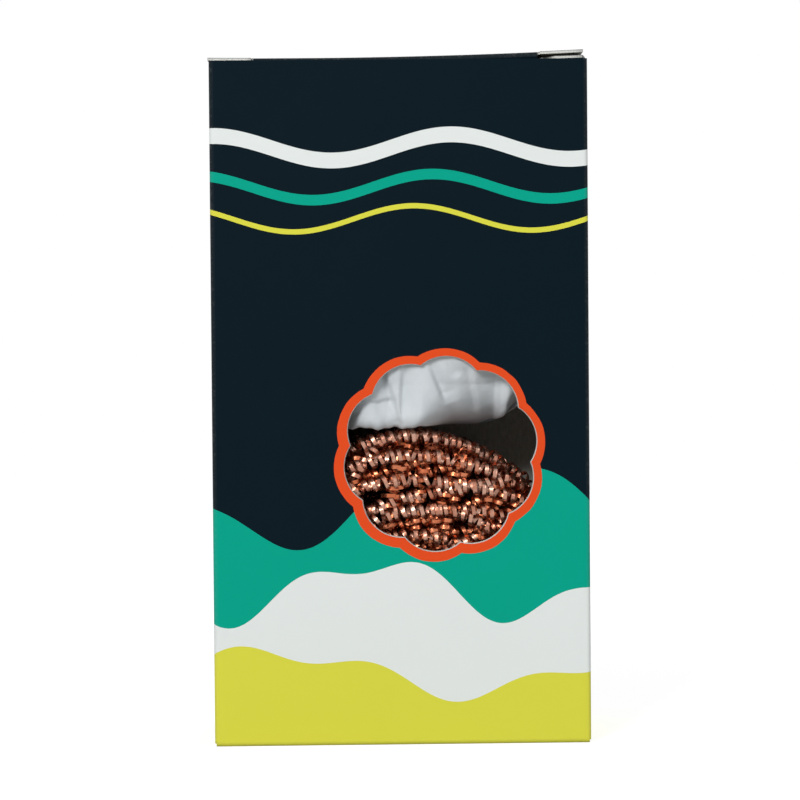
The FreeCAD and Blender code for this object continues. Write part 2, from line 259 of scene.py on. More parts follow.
def print_material(name, bare_flap):
    """Ink and satin varnish on board, rubbed pale along folds. A bare flap has ink only beside its fold."""
    shader = Shader(name)
    print_map = shader.node("ShaderNodeUVMap", uv_map="print").outputs[0]
    parts = shader.node("ShaderNodeSeparateXYZ", {0: print_map}).outputs
    along = shader.math("DIVIDE", parts[0], MM)
    up = shader.math("DIVIDE", parts[1], MM)
    where = shader.place()
    fibre = shader.noise(where, 2.2, detail=5, rough=0.65)
    cloud = shader.ramp(shader.noise(where, 0.06), 0.35, 0.7, end=0.05)
    colour = shader.mix(cloud, printed_colour(shader, along, up), WHITE, "SOFT_LIGHT")
    if bare_flap:
        ragged = shader.math("MULTIPLY_ADD", fibre, BLEED_RAGGED, BLEED)
        past_top = shader.math("GREATER_THAN", up, shader.math("ADD", ragged, HEIGHT - STACK))
        past_end = shader.math("LESS_THAN", up, shader.math("SUBTRACT", STACK, ragged))
        colour = shader.mix(shader.math("MAXIMUM", past_top, past_end), colour, BARE)
    rub = shader.ramp(shader.noise(where, 1.3, detail=6, rough=0.7), 0.5, 0.75, start=0.02, end=0.1)
    colour = shader.mix(shader.math("MULTIPLY", shader.attribute("fold"), rub), colour, RAW)
    dull = shader.ramp(shader.noise(where, 0.25, detail=4), 0.3, 0.7, start=0.35, end=0.4)
    grain = shader.bump(fibre, depth=0.02, strength=0.35)
    grain = shader.bump(shader.noise(where, 0.05, detail=2), depth=0.1, strength=0.2, under=grain)
    return shader.finish(Base_Color=colour, Roughness=dull, Normal=grain, Specular_IOR_Level=0.03)


def bare_material():
    """The uncoated inner face of the board: pale, with fibres and a few darker flecks."""
    shader = Shader("bare_board")
    fibre = shader.noise(shader.place(stretch=(1, 1, 0.35)), 1.8, detail=6, rough=0.7, twist=0.6)
    flecks = shader.ramp(shader.noise(shader.place(), 0.9, detail=2), 0.68, 0.76, end=0.35)
    colour = shader.mix(shader.ramp(fibre, 0.3, 0.7), srgb(186, 184, 174), BARE)
    colour = shader.mix(flecks, colour, srgb(150, 142, 128))
    grain = shader.bump(fibre, depth=0.04, strength=0.5)
    return shader.finish(Base_Color=colour, Roughness=0.9, Normal=grain, Specular_IOR_Level=0.2)


def edge_material():
    """A die-cut edge of the board: pale fibres, with ink beside the printed face."""
    shader = Shader("board_edge")
    fibre = shader.noise(shader.place(), 5.0, detail=5, rough=0.75)
    colour = shader.mix(shader.ramp(fibre, 0.35, 0.65), srgb(176, 176, 170), srgb(226, 227, 223))
    inked = shader.ramp(shader.attribute("depth"), 0.1, 0.3, start=0.85, end=0.0)
    colour = shader.mix(inked, colour, srgb(70, 76, 78))
    grain = shader.bump(fibre, depth=0.06, strength=0.6)
    return shader.finish(Base_Color=colour, Roughness=0.95, Normal=grain)


def copper_material(name, dull, bright, stain):
    """Bright flat copper ribbon, a little tarnished in patches, with fine rolling marks and small dents."""
    shader = Shader(name)
    where = shader.place()
    patch = shader.ramp(shader.noise(where, 0.16, detail=4, rough=0.6), 0.32, 0.68)
    speck = shader.noise(where, 1.1, rough=0.6)
    colour = shader.mix(patch, dull, bright)
    colour = shader.mix(shader.ramp(speck, 0.56, 0.76, end=0.6), colour, stain)
    gloss = shader.ramp(speck, 0.3, 0.7, start=0.22, end=0.4)
    marks = shader.bump(shader.noise(where, 7.0, detail=2), depth=0.015, strength=0.3)
    marks = shader.bump(shader.noise(where, 1.3, detail=2), depth=0.2, strength=0.6, under=marks)
    return shader.finish(Base_Color=colour, Metallic=1.0, Roughness=gloss, Normal=marks)


def tissue_material():
    """Soft white paper with faint fibres."""
    shader = Shader("tissue_paper")
    where = shader.place()
    fibre = shader.noise(where, 1.4, detail=6, rough=0.7, twist=0.4)
    cloud = shader.ramp(shader.noise(where, 0.12), 0.3, 0.7)
    colour = shader.mix(cloud, srgb(194, 200, 204), srgb(209, 214, 217))
    colour = shader.mix(shader.ramp(fibre, 0.4, 0.8, end=0.12), colour, srgb(182, 188, 194))
    grain = shader.bump(fibre, depth=0.05, strength=0.4)
    return shader.finish(Base_Color=colour, Roughness=0.8, Normal=grain, Specular_IOR_Level=0.1)


def glue_material():
    """Dried carton glue: yellowish, a little glossy and uneven."""
    shader = Shader("dried_glue")
    blotch = shader.noise(shader.place(), 0.5, detail=4)
    colour = shader.mix(shader.ramp(blotch, 0.3, 0.7), srgb(226, 220, 196), srgb(206, 194, 160))
    grain = shader.bump(blotch, depth=0.1, strength=0.4)
    return shader.finish(Base_Color=colour, Roughness=0.45, Normal=grain)


PRINT = print_material("printed_board", bare_flap=False)
FLAP_PRINT = print_material("flap_bleed", bare_flap=True)
BARE_BOARD = bare_material()
BOARD_EDGE = edge_material()
COPPER = copper_material(
    "copper_ribbon", dull=srgb(166, 106, 83), bright=srgb(186, 147, 129), stain=srgb(142, 66, 38)
)
# Painted light: ribbon inside a scourer is given a redder, brighter colour that stands in for the light
# passing from ribbon to ribbon there
INNER_COPPER_PAINTED_BOUNCE = copper_material(
    "inner_copper_painted_bounce", dull=srgb(178, 92, 58), bright=srgb(190, 118, 86), stain=srgb(160, 68, 36)
)
TISSUE = tissue_material()
GLUE = glue_material()


# Meshes

# Grid of the boards: cell size, least distance of its points from the outline and, in cells, from a hole
GRID_STEP = 2.4
RIM_CLEAR = 0.06
HOLE_CLEAR = 0.45


def add_piece(name, points, faces, materials, picks=None, prints=None, folds=None, depths=None):
    """A smooth mesh piece from points in millimetres. Edges between two materials stay sharp."""
    mesh = bpy.data.meshes.new(name)
    mesh.from_pydata((np.asarray(points) * MM).tolist(), [], [list(map(int, face)) for face in faces])
    for material in materials:
        mesh.materials.append(material)
    mesh.polygons.foreach_set("use_smooth", [True] * len(mesh.polygons))
    if picks is not None:
        mesh.polygons.foreach_set("material_index", np.asarray(picks, np.int32))
        sharpen(mesh)
    if prints is not None:
        corners = np.zeros(len(mesh.loops), np.int32)
        mesh.loops.foreach_get("vertex_index", corners)
        layer = mesh.uv_layers.new(name="print")
        layer.data.foreach_set("uv", (np.asarray(prints)[corners] * MM).ravel().astype(np.float32))
    for kind, values in (("fold", folds), ("depth", depths)):
        if values is not None:
            layer = mesh.attributes.new(kind, "FLOAT", "POINT")
            layer.data.foreach_set("value", np.asarray(values, np.float32))
    return linked(name, mesh)


def linked(name, data):
    """An object with that data, in the scene."""
    made = bpy.data.objects.new(name, data)
    bpy.context.scene.collection.objects.link(made)
    return made


def stand_in(piece, body, slot, *nodes):
    """Fix a piece to its body, in place of nodes of the CAD part. Its slot is not used."""
    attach(piece, body)
    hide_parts(*nodes)


def sharpen(mesh):
    """Mark the edges between two materials as sharp."""
    kinds = {}
    for polygon in mesh.polygons:
        for key in polygon.edge_keys:
            kinds.setdefault(key, set()).add(polygon.material_index)
    sharp = [len(kinds[edge.key]) > 1 for edge in mesh.edges]
    mesh.attributes.new("sharp_edge", "BOOLEAN", "EDGE").data.foreach_set("value", sharp)


def unit_rows(vectors):
    return vectors / np.linalg.norm(vectors, axis=1)[:, None]


def distances(points, others):
    return np.sqrt(((points[:, None] - others[None]) ** 2).sum(2))


def inside(points, loop):
    """Which of the points lie inside a closed loop."""
    x, y = points[:, :1], points[:, 1:]
    start = np.asarray(loop)
    end = np.roll(start, -1, axis=0)
    spans = (start[:, 1] > y) != (end[:, 1] > y)
    rise = np.where(end[:, 1] == start[:, 1], 1, end[:, 1] - start[:, 1])
    crossing = start[:, 0] + (y - start[:, 1]) * (end[:, 0] - start[:, 0]) / rise
    return (spans & (x < crossing)).sum(1) % 2 == 1


def within(points, loops):
    """Which of the points lie inside the first loop and outside the others."""
    found = inside(points, loops[0])
    for loop in loops[1:]:
        found &= ~inside(points, loop)
    return found


def even(low, high):
    return list(np.linspace(low, high, max(2, round((high - low) / GRID_STEP) + 1)))


def divided(loop, columns, rows):
    """The loop with its sides cut where the grid's columns and rows meet them, slanted ones evenly."""
    found = []
    for start, end in zip(loop, loop[1:] + loop[:1]):
        if start[0] == end[0]:
            shares = [(v - start[1]) / (end[1] - start[1]) for v in rows]
        elif start[1] == end[1]:
            shares = [(u - start[0]) / (end[0] - start[0]) for u in columns]
        else:
            count = math.ceil(math.dist(start, end) / GRID_STEP)
            shares = [i / count for i in range(count)]
        for share in [0] + sorted(s for s in shares if 0.001 < s < 0.999):
            found.append([a + (b - a) * share for a, b in zip(start, end)])
    return np.array(found)


def flat_triangles(outline, holes, columns, rows):
    """Points and triangles that fill an outline less its holes, on the grid of columns and rows."""
    loops = [divided(outline, columns, rows)] + [np.asarray(hole) for hole in holes]
    rim = np.concatenate(loops)
    grid = np.array([(u, v) for u in columns for v in rows])
    grid = grid[within(grid, loops) & (distances(grid, rim).min(1) > RIM_CLEAR)]
    for loop in loops[1:]:
        grid = grid[distances(grid, loop).min(1) > HOLE_CLEAR * GRID_STEP]
    sides, first = [], 0
    for loop in loops:
        count = len(loop)
        sides += [(first + i, first + (i + 1) % count) for i in range(count)]
        first += count
    made = delaunay_2d_cdt([Vector(p) for p in np.concatenate([rim, grid])], sides, [], 0, 1e-4)
    points = np.array([tuple(p) for p in made[0]])
    triangles = np.array([face for face in made[2] if len(face) == 3])
    triangles = triangles[within(points[triangles].mean(1), loops)]
    a, b, c = (points[triangles[:, i]] for i in range(3))
    turned = (b[:, 0] - a[:, 0]) * (c[:, 1] - a[:, 1]) - (b[:, 1] - a[:, 1]) * (c[:, 0] - a[:, 0]) < 0
    triangles[turned] = triangles[turned][:, ::-1]
    return points, triangles


def torn_back(flat, holes):
    """The flat points, those round a hole moved back, where the die leaves the board's core showing."""
    moved = flat.copy()
    for hole in holes:
        loop = np.asarray(hole)
        ahead = unit_rows(np.roll(loop, -1, axis=0) - np.roll(loop, 1, axis=0))
        moved[distances(flat, loop).argmin(0)] += TEAR * np.stack([ahead[:, 1], -ahead[:, 0]], 1)
    return moved


def boundary_of(faces):
    """The sides that only one face has."""
    sides = dict.fromkeys((a, b) for face in faces for a, b in zip(face, face[1:] + face[:1]))
    return [(a, b) for a, b in sides if (b, a) not in sides]


def two_faced(faces, count):
    """The faces, their backs on the next count points and the rim between, with each one's material."""
    back = [[corner + count for corner in reversed(face)] for face in faces]
    rim = [(b, a, a + count, b + count) for a, b in boundary_of(faces)]
    return faces + back + rim, [0] * len(faces) + [1] * len(back) + [2] * len(rim)


def cells_between(rows, wide, steps):
    """Faces between rows of points, each that wide, for so many steps along a row, which can close it."""
    near = wide * np.arange(rows - 1)[:, None]
    here = np.arange(steps)[None]
    following = (here + 1) % wide
    cells = np.stack([near + here, near + following, near + wide + following, near + wide + here], 2)
    return cells.reshape(-1, 4).tolist()


def board(name, outline, place, to_print, holes=(), columns=None, rows=None, fold=None, outer=None):
    """A piece of board from its flat outline: printed face, bare inner face and cut edges.

    place maps flat points and a depth to space, to_print maps them to the print, and fold to their wear.
    """
    (left, low), (right, high) = np.min(outline, axis=0), np.max(outline, axis=0)
    flat, triangles = flat_triangles(outline, holes, columns or even(left, right), rows or even(low, high))
    count = len(flat)
    face = torn_back(flat, holes)
    points = np.concatenate([place(face[:, 0], face[:, 1], 0.0), place(flat[:, 0], flat[:, 1], BOARD)])
    faces, picks = two_faced(triangles.tolist(), count)
    prints = np.tile(to_print(flat), (2, 1))
    wear = np.zeros(count) if fold is None else fold(flat[:, 0], flat[:, 1])
    depths = np.repeat([0.0, 1.0], count)
    # A torn edge shows the board's core, so its depth is past the ink there
    depths[:count][np.any(face != flat, axis=1)] = 0.4
    materials = [outer or PRINT, BARE_BOARD, BOARD_EDGE]
    return add_piece(name, points, faces, materials, picks, prints, np.tile(wear, 2), depths)


def turned_over(points):
    """Half a turn about the X axis at the carton's middle height, which takes its top closure to its base."""
    points = np.array(points, float)
    points[:, 1] *= -1
    points[:, 2] = HEIGHT - points[:, 2]
    return points


# Walls

# Mesh steps of half an upright fold, and how far from its middle the print is worn
ARC_STEPS = 6
WEAR_REACH = 0.7
WALLS = {
    # name: half its width, its distance from the middle, turn about Z in quarters, its middle on the print
    "front_panel": (WIDTH / 2, DEPTH / 2, 0, 0.0),
    "right_side_panel": (DEPTH / 2, WIDTH / 2, 1, HALF_WIDE + HALF_NARROW),
    "back_panel": (WIDTH / 2, DEPTH / 2, 2, ROUND / 2),
    "left_side_panel": (DEPTH / 2, WIDTH / 2, 3, -HALF_WIDE - HALF_NARROW),
}


def window_outline():
    """The edge of ten round lobes that overlap, from one cusp to the next."""
    step = 2 * math.pi / WINDOW_LOBES
    points = []
    for lobe in range(WINDOW_LOBES):
        for i in range(POINTS_PER_LOBE):
            away = step * (i / POINTS_PER_LOBE - 0.5)
            reach = LOBE_REACH * math.cos(away)
            reach += math.sqrt(LOBE_RADIUS**2 - (LOBE_REACH * math.sin(away)) ** 2)
            angle = WINDOW_TURN + lobe * step + away
            x = WINDOW_CENTRE[0] + reach * math.cos(angle)
            z = WINDOW_CENTRE[1] + reach * math.sin(angle)
            points.append((x, z))
    return points


def make_wall(name, low, high, bow, holes=(), ears=None):
    """A wall whose two upright folds are rounded and end halfway round, where the next wall begins.

    ears are where the upright folds run on past the wall's low and high ends, beside the dust flaps' folds.
    """
    half, reach, quarters, middle = WALLS[name]
    flat_half = half - FOLD
    end = flat_half + FOLD * math.pi / 4

    def place(u, v, depth):
        angle = np.maximum(np.abs(u) - flat_half, 0) / FOLD
        across = np.sign(u) * (np.minimum(np.abs(u), flat_half) + (FOLD - depth) * np.sin(angle))
        out = reach - FOLD + (FOLD - depth) * np.cos(angle)
        rise = (v - low) / (high - low)
        out = out + bow * np.cos(np.clip(u / flat_half, -1, 1) * math.pi / 2) ** 2 * np.sin(math.pi * rise)
        x, y = across, -out
        for _ in range(quarters):
            x, y = -y, x
        return np.stack([x, y, v], 1)

    def worn(u, v):
        return np.clip(1 - (end - np.abs(u)) / WEAR_REACH, 0, 1)

    arc = [flat_half + (end - flat_half) * i / ARC_STEPS for i in range(ARC_STEPS + 1)]
    columns = [-u for u in reversed(arc)] + even(-flat_half, flat_half)[1:-1] + arc
    outline = [(-end, low), (end, low), (end, high), (-end, high)]
    rows = even(low, high)
    if ears:
        first, last = low - FOLD, high + FOLD
        outline = [
            (-end, first), (-ears[0], first), (-ears[0], low), (ears[1], low), (ears[1], first), (end, first),
            (end, last), (ears[0], last), (ears[0], high), (-ears[1], high), (-ears[1], last), (-end, last),
        ]
        rows = [first] + rows + [last]
    piece = board(
        f"{name}_board", outline, place, lambda flat: flat + (middle, 0), holes, columns, rows, fold=worn
    )
    stand_in(piece, "carton", "printed_board", name)


make_wall("front_panel", FOLD, HEIGHT - STACK, WIDE_BOW, [window_outline()])
make_wall("back_panel", STACK, HEIGHT - FOLD, WIDE_BOW)
make_wall("right_side_panel", STACK + FOLD, HEIGHT - STACK - FOLD, NARROW_BOW, ears=DUST_ROOT[::-1])
make_wall("left_side_panel", STACK + FOLD, HEIGHT - STACK - FOLD, NARROW_BOW, ears=DUST_ROOT)


# Closures

# Mesh steps of a fold and of a tuck flap's corner, and how much less a fold's ends are worn than its middle
FOLD_STEPS = 10
CORNER_STEPS = 8
WEAR_FADE = 0.6


def spring(x):
    """How high the closed lid's front edge springs up across the carton, most at its right end."""
    rise, growth = 0.0165, 0.0004
    return rise * x + growth * x * x


def spring_share(run):
    """The share of that spring at a run from the lid's hinge."""
    power = 1.3
    return np.clip(run / TUCK_LINE, 0, 1) ** power


def lid_lift(x, run):
    """How far the closed lid stands off the carton's edges."""
    deepest = -0.15
    return np.maximum(spring(x), deepest) * spring_share(run)


def dust_lift(x, y):
    """How far the right dust flap springs up under the lid, no steeper than its own fold lets it."""
    steepest, follows = 0.85, 0.62
    rise = np.minimum(steepest * (WIDTH / 2 - x), follows * np.maximum(spring(x), 0))
    return rise * spring_share(DEPTH / 2 - y)


def no_lift(x, y):
    return 0 * x


def crease(name, corner, first, second, span, to_print, turned, lift=no_lift, outer=None):
    """A folded strip of board between two panels.

    corner is where the panels' printed faces would meet, first and second run from it into the two panels,
    and span gives the two ends of the fold.
    """
    first, second = Vector(first).normalized(), Vector(second).normalized()
    opening = first.angle(second)
    radius = FOLD * math.tan(opening / 2)
    root, tip = (Vector(end) for end in span)
    along = (tip - root).normalized()
    centre = (first + second).normalized() * (radius / math.sin(opening / 2))
    start = first * FOLD - centre
    axis = start.cross(second * FOLD - centre).normalized()
    stations = even(0, (tip - root).length)
    points, prints, wear = [], [], []
    for depth in (0.0, BOARD):
        for i in range(FOLD_STEPS + 1):
            share = i / FOLD_STEPS
            arm = Matrix.Rotation((math.pi - opening) * share, 3, axis) @ start
            arm = arm * ((radius - depth) / radius)
            for station in stations:
                points.append(root + along * station + centre + arm)
                prints.append(to_print(station, share))
                wear.append(1 - abs(2 * share - 1) * WEAR_FADE)
    middle = np.array(corner)
    points = np.array([tuple(p) for p in points]) + middle
    points[:, 2] += lift(points[:, 0], points[:, 1])
    wide = len(stations)
    cells = cells_between(FOLD_STEPS + 1, wide, wide - 1)
    faces, picks = two_faced(cells, wide * (FOLD_STEPS + 1))
    a, b, c = (points[i] for i in cells[len(cells) // 2][:3])
    if np.dot(np.cross(b - a, c - a), np.array(centre)) > 0:
        faces = [tuple(reversed(face)) for face in faces]
    chord = np.array((second - first).normalized())
    room = (FOLD - BOARD) * math.sin(opening / 2)
    ends = np.array([middle - chord * room, middle + chord * room])
    if turned:
        points, ends = turned_over(points), turned_over(ends)
    piece = add_piece(name, points, faces, [outer or PRINT, BARE_BOARD, BOARD_EDGE], picks, prints, wear)
    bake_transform(piece)


def mirrored(half_outline):
    """A whole outline from its right half, which runs from the root to the end."""
    return [(-x, run) for x, run in half_outline] + list(reversed(half_outline))


def make_closure(lid, end, turned):
    """The hinged panel, its tuck flap and two dust flaps of one end, with the folds that join them.

    The base's closure is the lid's turned over, and lies flat and square.
    """
    tuck = f"{lid}_tuck"
    lift = no_lift if turned else lid_lift
    skew = 0.0 if turned else LID_SKEW
    flip = turned_over if turned else np.array
    back = DEPTH / 2
    half = WIDTH / 2 - LID_SIDE_GAP
    side_of_print = 0.0 if turned else ROUND / 2
    up = -1 if turned else 1
    base_v = 0.0 if turned else HEIGHT

    def lid_print(flat):
        return np.stack([side_of_print - up * flat[:, 0], base_v + up * flat[:, 1]], 1)

    def lid_place(x, run, depth):
        aside = skew * np.clip(run / TUCK_LINE, 0, 1)
        return flip(np.stack([x - aside, back - run, HEIGHT - depth + lift(x, run)], 1))

    ends = DEPTH - LID_END_SETBACK
    outline = mirrored([(half, FOLD), (half, ends), (SLIT_X, ends), (SLIT_X, TUCK_LINE - FOLD)])
    panel = board(f"{lid}_panel_board", outline, lid_place, lid_print)
    stand_in(panel, lid, "printed_board", f"{lid}_panel")

    down = Vector((0, math.sin(TUCK_TILT), -math.cos(TUCK_TILT)))
    inward = Vector((0, math.cos(TUCK_TILT), math.sin(TUCK_TILT)))
    corner = Vector((0, back - TUCK_LINE, HEIGHT))

    def front_lift(x, y):
        return lift(x, TUCK_LINE + 0 * x)

    def tuck_place(x, run, depth):
        y = corner.y + down.y * run + inward.y * depth
        z = corner.z + down.z * run + inward.z * depth + front_lift(x, y)
        return flip(np.stack([x - skew, y, z], 1))

    round_end = [(TUCK_HALF - TUCK_CORNER * (1 - math.sin(a)), TUCK_LENGTH - TUCK_CORNER * (1 - math.cos(a)))
                 for a in np.linspace(math.pi / 2, 0, CORNER_STEPS + 1)]
    outline = mirrored([(TUCK_HALF, FOLD)] + round_end)
    flap = board(f"{tuck}_flap_board", outline, tuck_place, lambda flat: lid_print(flat + (0, TUCK_LINE)))
    stand_in(flap, tuck, "flap_board", f"{tuck}_flap")

    def hinge_print(station, share):
        return side_of_print - up * (station - half), base_v + up * FOLD * (2 * share - 1)

    def tuck_fold_print(station, share):
        return side_of_print - up * (station - TUCK_HALF), base_v + up * TUCK_LINE

    crease(
        f"{lid}_hinge_fold", (0, back, HEIGHT), (0, 0, -1), (0, -1, 0),
        ((-half, 0, 0), (half, 0, 0)), hinge_print, turned,
    )
    crease(
        f"{lid}_tuck_fold", corner, (0, 1, 0), down,
        ((-TUCK_HALF - skew, 0, 0), (TUCK_HALF - skew, 0, 0)), tuck_fold_print, turned, lift=front_lift,
    )
    make_dust_flap(-1, f"{end}_left_dust", turned)
    make_dust_flap(1, f"{end}_right_dust", turned)


def make_dust_flap(side, name, turned):
    """The left, -1, or right, 1, dust flap. Flat points are Y times side, and the run in from the wall."""
    flip = turned_over if turned else np.array
    raised = dust_lift if side == 1 and not turned else no_lift
    level = HEIGHT - STACK
    wall = side * WIDTH / 2
    root_v = STACK if turned else level
    up = -1 if turned else 1
    middle = side * (HALF_WIDE + HALF_NARROW)
    turn = -side if turned else side

    def to_print(flat):
        return np.stack([middle + turn * side * flat[:, 0], root_v + up * flat[:, 1]], 1)

    def place(across, run, depth):
        x, y = wall - side * run, side * across
        return flip(np.stack([x, y, level - depth + raised(x, y)], 1))

    def fold_print(station, share):
        return middle + turn * (station - DUST_ROOT[0]), root_v + up * FOLD * (2 * share - 1)

    outline = [
        (-DUST_FRONT, FOLD),
        (-DUST_FRONT, DUST_SHOULDER),
        (-DUST_FRONT + DUST_STEP, DUST_SHOULDER + DUST_STEP),
        (-DUST_FRONT + DUST_STEP, DUST_LENGTH),
        (DUST_BACK - DUST_LENGTH * DUST_TAPER, DUST_LENGTH),
        (DUST_BACK - FOLD * DUST_TAPER, FOLD),
    ]
    if side == -1:
        outline = [(-y, run) for y, run in reversed(outline)]
    flap = board(f"{name}_flap_board", outline, place, to_print, outer=FLAP_PRINT)
    stand_in(flap, name, "flap_board", f"{name}_flap")
    crease(
        f"{name}_fold", (wall, 0, level), (0, 0, -1), (-side, 0, 0),
        ((0, -DUST_ROOT[0], 0), (0, DUST_ROOT[1], 0)), fold_print, turned, lift=raised, outer=FLAP_PRINT,
    )


make_closure("lid", "top", turned=False)
make_closure("base", "bottom", turned=True)
for node, material in (("glue_flap", BARE_BOARD), ("seam_glue", GLUE)):
    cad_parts[node].data.materials.clear()
    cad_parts[node].data.materials.append(material)


# Scourers

# The ribbon's curls and its section
CURL = 2.9
CURL_PITCH = 1.9
RIBBON_WIDTH = 0.72
RIBBON_THICK = 0.1
# Winding: points per loop, what it leaves out at a pole, waves per loop of its wander and its sinking
LOOP_POINTS = 120
POLE_EYE, POLE_ANGLE = 0.05, 0.06
WANDER_WAVES = (0.31, 0.83, 1.37, 2.6, 4.3)
SINK_WAVES = (0.47, 1.9, 3.7, 7.1)
SINK = 0.02
# Unevenness of the ribbon: height, and waves in a run of it, of its curls' turn and size and of its lean
WAVE_RUN = 40.0
TURN = (1.6, (0.9, 1.7, 3.1, 5.3, 8.9))
SIZE = (0.12, (2.3, 5.1, 9.7, 17.0))
LEAN = (0.25, (7.0, 13.0, 23.0))
SIZE_MEAN = 0.95


def smooth_noise(random, where, height, waves):
    """A sum of sines of that many waves to the unit, with random phases, about that high."""
    total = np.zeros(len(where))
    for count in waves:
        total += np.sin(2 * math.pi * count * where + random.uniform(0, 2 * math.pi))
    return height * total / len(waves) ** 0.5


def wound_line(random, reach, loops, tilt, wander, bulge):
    """Points of a strand wound from pole to pole over a round cake that bulges, and the way out of it."""
    turns = np.linspace(0, loops, loops * LOOP_POINTS)
    polar = np.linspace(0, math.pi, 2000)
    pace = np.cumsum(np.hypot(0.5 * (reach[0] + reach[2]) * np.cos(polar), reach[1] * np.sin(polar)))
    share = POLE_EYE + (1 - 2 * POLE_EYE) * turns / loops
    angle = np.interp(share, pace / pace[-1], polar)
    angle = angle + smooth_noise(random, turns, wander, WANDER_WAVES)
    angle = np.clip(angle, POLE_ANGLE, math.pi - POLE_ANGLE)
    spin = 2 * math.pi * turns
    unit = np.stack([np.sin(angle) * np.cos(spin), -np.cos(angle), np.sin(angle) * np.sin(spin)], 1)
    unit = unit @ np.array(Matrix.Rotation(tilt[0], 3, "X") @ Matrix.Rotation(tilt[1], 3, "Z")).T
    disc = np.hypot(unit[:, 0], unit[:, 2])
    unit /= ((disc**bulge + np.abs(unit[:, 1]) ** bulge) ** (1 / bulge))[:, None]
    disc = np.hypot(unit[:, 0], unit[:, 2]) ** (bulge - 2)
    outward = unit * np.stack([disc, np.abs(unit[:, 1]) ** (bulge - 2), disc], 1) / np.array(reach)
    sunk = 1 - SINK - smooth_noise(random, turns, SINK, SINK_WAVES)
    return unit * np.array(reach) * sunk[:, None], outward


def curled_ribbon(name, random, line, outward, centre, per_curl, material):
    """A flat ribbon curled into a helix along a line of points."""
    step = np.linalg.norm(np.diff(line, axis=0), axis=1)
    run = np.concatenate([[0], np.cumsum(step)])
    at = np.linspace(0, run[-1], int(run[-1] / CURL_PITCH * per_curl))
    spots = np.stack([np.interp(at, run, line[:, i]) for i in range(3)], 1)
    away = np.stack([np.interp(at, run, outward[:, i]) for i in range(3)], 1)
    ahead = unit_rows(np.gradient(spots, axis=0))
    away = unit_rows(away - ahead * (away * ahead).sum(1)[:, None])
    across = np.cross(ahead, away)
    curl = 2 * math.pi * at / CURL_PITCH + smooth_noise(random, at / WAVE_RUN, *TURN)
    size = (CURL - RIBBON_THICK) / 2 * (SIZE_MEAN + smooth_noise(random, at / WAVE_RUN, *SIZE))
    radial = away * np.cos(curl)[:, None] + across * np.sin(curl)[:, None]
    around = across * np.cos(curl)[:, None] - away * np.sin(curl)[:, None]
    heading = unit_rows(ahead * (CURL_PITCH / (2 * math.pi)) + around * size[:, None])
    wide = np.cross(heading, radial)
    lean = smooth_noise(random, at / WAVE_RUN, *LEAN)
    wide = wide * np.cos(lean)[:, None] + radial * np.sin(lean)[:, None]
    thick = np.cross(wide, heading)
    middle = spots + radial * size[:, None] + np.array(centre)
    w, t = wide * RIBBON_WIDTH / 2, thick * RIBBON_THICK / 2
    rings = np.stack([middle - w - t, middle + w - t, middle + w + t, middle - w + t], 1)
    return ribbon_mesh(name, rings, material)


def ribbon_mesh(name, rings, material):
    """A closed ribbon through rings of four corners, with sharp long edges."""
    count = len(rings)
    points = (rings.reshape(-1, 3) * MM).astype(np.float32)
    caps = [[3, 2, 1, 0], list(range(4 * count - 4, 4 * count))]
    quads = np.array(cells_between(count, 4, 4) + caps, np.int32)
    mesh = bpy.data.meshes.new(name)
    mesh.vertices.add(len(points))
    mesh.vertices.foreach_set("co", points.ravel())
    mesh.loops.add(quads.size)
    mesh.loops.foreach_set("vertex_index", quads.ravel())
    mesh.polygons.add(len(quads))
    mesh.polygons.foreach_set("loop_start", np.arange(0, quads.size, 4, dtype=np.int32))
    mesh.update(calc_edges=True)
    mesh.polygons.foreach_set("use_smooth", np.ones(len(quads), bool))
    ends = np.zeros(2 * len(mesh.edges), np.int32)
    mesh.edges.foreach_get("vertices", ends)
    ends = ends.reshape(-1, 2)
    lengthwise = ends[:, 0] % 4 == ends[:, 1] % 4
    mesh.attributes.new("sharp_edge", "BOOLEAN", "EDGE").data.foreach_set("value", lengthwise)
    mesh.materials.append(material)
    return linked(name, mesh)


# Layers of a scourer: how far under its surface the strand runs, its loops, the tilt of its poles, its
# wander, the rings of its mesh per curl and its material
LAYERS = (
    ("outer", 0.2, 27, (0.42, 0.06), 0.045, 10, COPPER),
    ("stray", 0.3, 9, (1.0, 0.6), 0.14, 10, COPPER),
    # The middle and inner layers take the copper whose redder, brighter colour is painted bounce light
    ("middle", 1.2, 30, (0.15, 1.25), 0.045, 9, INNER_COPPER_PAINTED_BOUNCE),
    ("inner", 2.5, 26, (1.3, 0.2), 0.05, 8, INNER_COPPER_PAINTED_BOUNCE),
)


def make_scourer(which, body, seed, bulge, spread, shift, droop):
    """A scourer of wound layers.

    bulge is 2 for an ellipsoid, and more where the carton's walls press the scourer flat in front and
    behind. spread is how far its strands then stand past the box of its solid there, shift how far it lies
    from the middle of that box, and droop how steeply its top falls to the back.
    """
    strand, core = f"{which}_scourer_strand", f"{which}_scourer_core"
    low, high = (np.array(corner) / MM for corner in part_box(strand))
    centre = (low + high) / 2 + shift
    random = np.random.default_rng(seed)
    for layer, sunk, loops, tilt, wander, per_curl, material in LAYERS:
        reach = (high - low) / 2 - CURL / 2 - sunk + (0, spread, 0)
        line, outward = wound_line(random, reach, loops, tilt, wander, bulge)
        line[:, 2] -= droop * (line[:, 1] + reach[1]) * np.clip(line[:, 2] / reach[2], 0, 1)
        piece = curled_ribbon(f"{which}_scourer_{layer}", random, line, outward, centre, per_curl, material)
        stand_in(piece, body, "copper_tangle", strand, core)


make_scourer("lower", "carton", seed=17, bulge=14.0, spread=0.7, shift=(-1.8, 0, 1.1), droop=0.06)
make_scourer("upper", "upper_scourer", seed=29, bulge=2.2, spread=0.0, shift=(0, 0, 0), droop=0.0)


# Tissue

# Mesh of the sheet: spokes round it, rings of its floor and rings of its walls
SPOKES, FLOOR_RINGS, WALL_RINGS = 640, 30, 110
